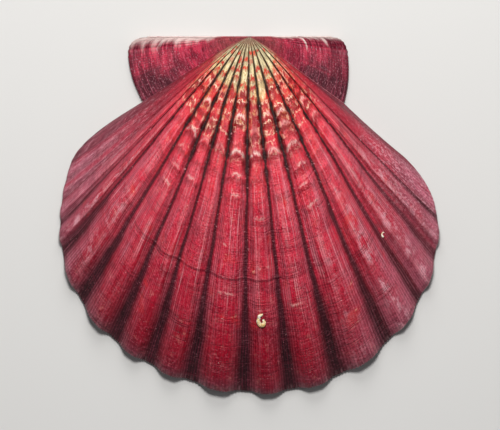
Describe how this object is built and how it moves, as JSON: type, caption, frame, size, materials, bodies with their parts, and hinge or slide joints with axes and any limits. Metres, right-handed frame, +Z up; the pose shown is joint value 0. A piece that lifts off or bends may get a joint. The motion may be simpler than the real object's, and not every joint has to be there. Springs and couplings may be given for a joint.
{
  "type": "scallop shell",
  "caption": "One half of a scallop's shell: a shallow ribbed fan with a small ear on each side of the beak and a straight hinge line, lying hollow side down.",
  "frame": {"origin": "under the middle of the shell, on the surface that it lies on", "axes": "+Z up, out of the ribbed side; +Y towards the hinge; +X to the right as seen from above with the hinge away"},
  "size_m": [0.0946, 0.089, 0.0167],
  "materials": {
    "shell": "satin calcite shell, crimson ribs with dark maroon grooves, cream beak, pale inside"
  },
  "bodies": {
    "root": {"scallop_shell": "shell"}
  },
  "joints": []
}
